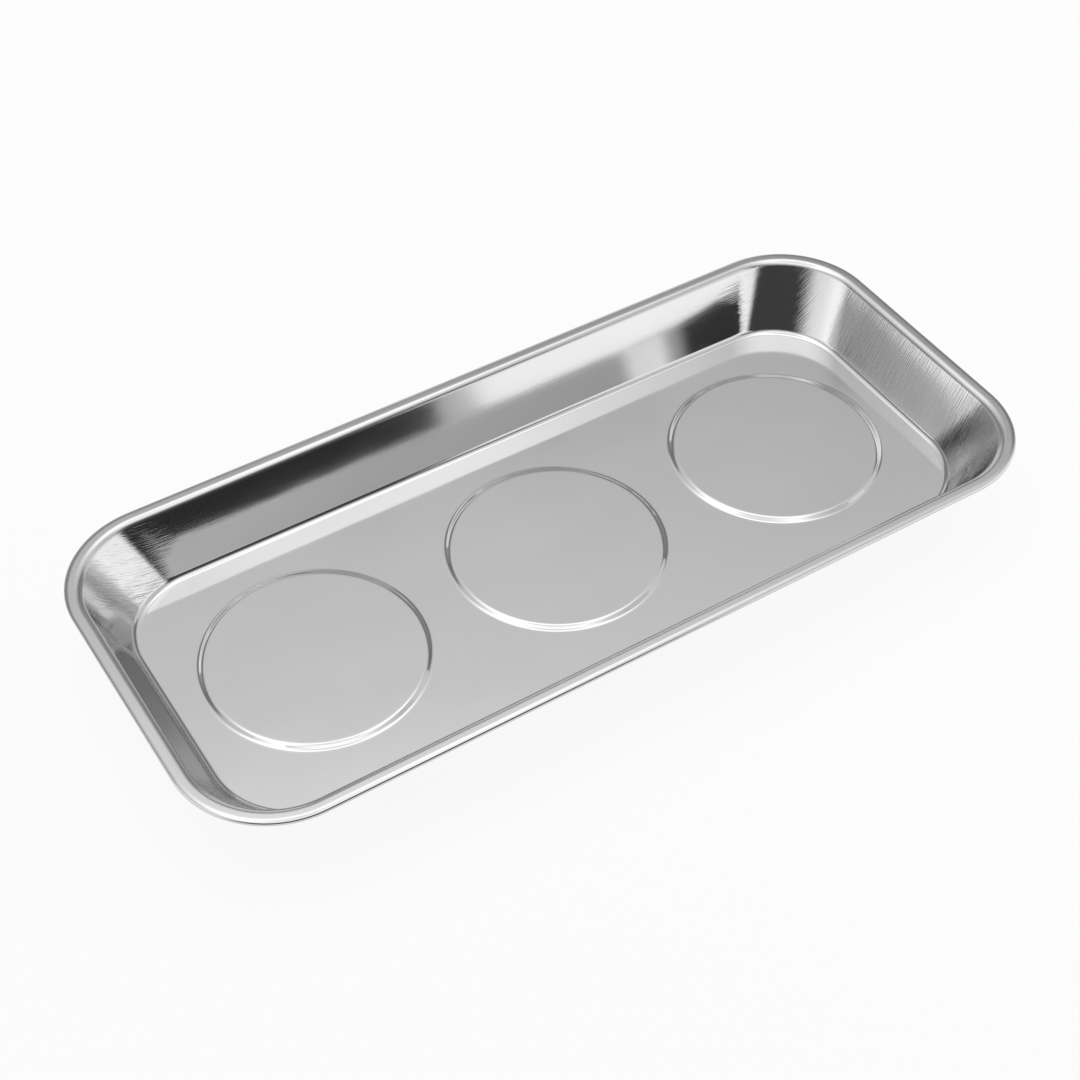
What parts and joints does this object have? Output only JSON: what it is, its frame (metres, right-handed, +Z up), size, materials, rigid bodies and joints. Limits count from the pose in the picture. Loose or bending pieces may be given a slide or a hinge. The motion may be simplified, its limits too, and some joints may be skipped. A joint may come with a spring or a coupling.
{
  "type": "magnetic parts tray",
  "caption": "Shallow rectangular stainless steel tray with rounded corners, a flat rim and raised round discs, standing on rubber-booted ring magnets that hold it to steel.",
  "frame": {"origin": "on the surface that the boots stand on, under the middle of the tray", "axes": "+X along the tray's length, +Y across it, +Z up out of the open side"},
  "size_m": [0.36, 0.162, 0.0382],
  "materials": {
    "stainless_steel": "polished, fine straight grain",
    "black_rubber": "matte moulded",
    "zinc_plated_steel": "bright zinc plate",
    "ferrite": "matte ground",
    "stud_steel": "stainless, threaded",
    "washer_steel": "zinc plate",
    "spring_steel": "zinc plate, darker",
    "nut_steel": "zinc plate"
  },
  "bodies": {
    "root": {"tray_pan": "stainless_steel", "left_rubber_boot": "black_rubber", "left_pole_cup": "zinc_plated_steel", "left_ring_magnet": "ferrite", "left_weld_stud": "stud_steel", "left_flat_washer": "washer_steel", "left_spring_washer": "spring_steel", "left_hex_nut": "nut_steel", "centre_rubber_boot": "black_rubber", "centre_pole_cup": "zinc_plated_steel", "centre_ring_magnet": "ferrite", "centre_weld_stud": "stud_steel", "centre_flat_washer": "washer_steel", "centre_spring_washer": "spring_steel", "centre_hex_nut": "nut_steel", "right_rubber_boot": "black_rubber", "right_pole_cup": "zinc_plated_steel", "right_ring_magnet": "ferrite", "right_weld_stud": "stud_steel", "right_flat_washer": "washer_steel", "right_spring_washer": "spring_steel", "right_hex_nut": "nut_steel"}
  },
  "joints": []
}
